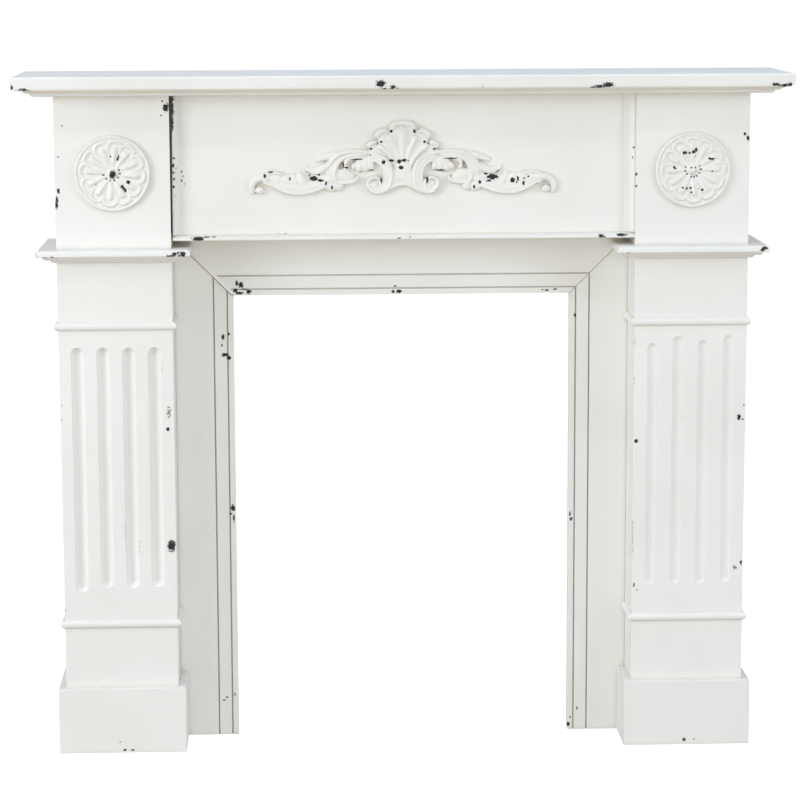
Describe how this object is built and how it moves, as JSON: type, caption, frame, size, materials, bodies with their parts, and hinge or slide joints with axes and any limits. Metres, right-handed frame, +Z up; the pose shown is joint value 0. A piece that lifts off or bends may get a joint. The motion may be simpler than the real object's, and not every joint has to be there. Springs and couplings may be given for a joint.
{
  "type": "fireplace mantelpiece",
  "caption": "Painted timber mantelpiece: a moulded shelf on fluted pilasters with rosettes, a carved frieze, and a mitred frame of slips around an open hearth.",
  "frame": {"origin": "middle of the footprint, on the floor", "axes": "+Z up, -Y towards the room, +Y towards the wall, +X to the right seen from the room"},
  "size_m": [1.2, 0.23, 1.074],
  "materials": {
    "aged_white_paint": "satin off-white paint over a dark undercoat, chipped at edges",
    "carved_white_paint": "satin off-white paint on carved ornament, dark undercoat showing in the hollows"
  },
  "bodies": {
    "root": {"shelf": "aged_white_paint", "left_front_board": "aged_white_paint", "left_outer_side": "aged_white_paint", "left_inner_side": "aged_white_paint", "left_capital_front": "aged_white_paint", "left_capital_outer": "aged_white_paint", "left_capital_inner": "aged_white_paint", "left_high_astragal_front": "aged_white_paint", "left_high_astragal_outer": "aged_white_paint", "left_high_astragal_inner": "aged_white_paint", "left_low_astragal_front": "aged_white_paint", "left_low_astragal_outer": "aged_white_paint", "left_low_astragal_inner": "aged_white_paint", "left_plinth_front": "aged_white_paint", "left_plinth_outer": "aged_white_paint", "left_plinth_inner": "aged_white_paint", "right_front_board": "aged_white_paint", "right_outer_side": "aged_white_paint", "right_inner_side": "aged_white_paint", "right_capital_front": "aged_white_paint", "right_capital_outer": "aged_white_paint", "right_capital_inner": "aged_white_paint", "right_high_astragal_front": "aged_white_paint", "right_high_astragal_outer": "aged_white_paint", "right_high_astragal_inner": "aged_white_paint", "right_low_astragal_front": "aged_white_paint", "right_low_astragal_outer": "aged_white_paint", "right_low_astragal_inner": "aged_white_paint", "right_plinth_front": "aged_white_paint", "right_plinth_outer": "aged_white_paint", "right_plinth_inner": "aged_white_paint", "frieze_panel": "aged_white_paint", "frieze_ledge": "aged_white_paint", "frieze_left_cove": "aged_white_paint", "frieze_right_cove": "aged_white_paint", "header_slip": "aged_white_paint", "left_slip": "aged_white_paint", "right_slip": "aged_white_paint", "left_rosette": "carved_white_paint", "right_rosette": "carved_white_paint", "frieze_ornament": "carved_white_paint"}
  },
  "joints": []
}
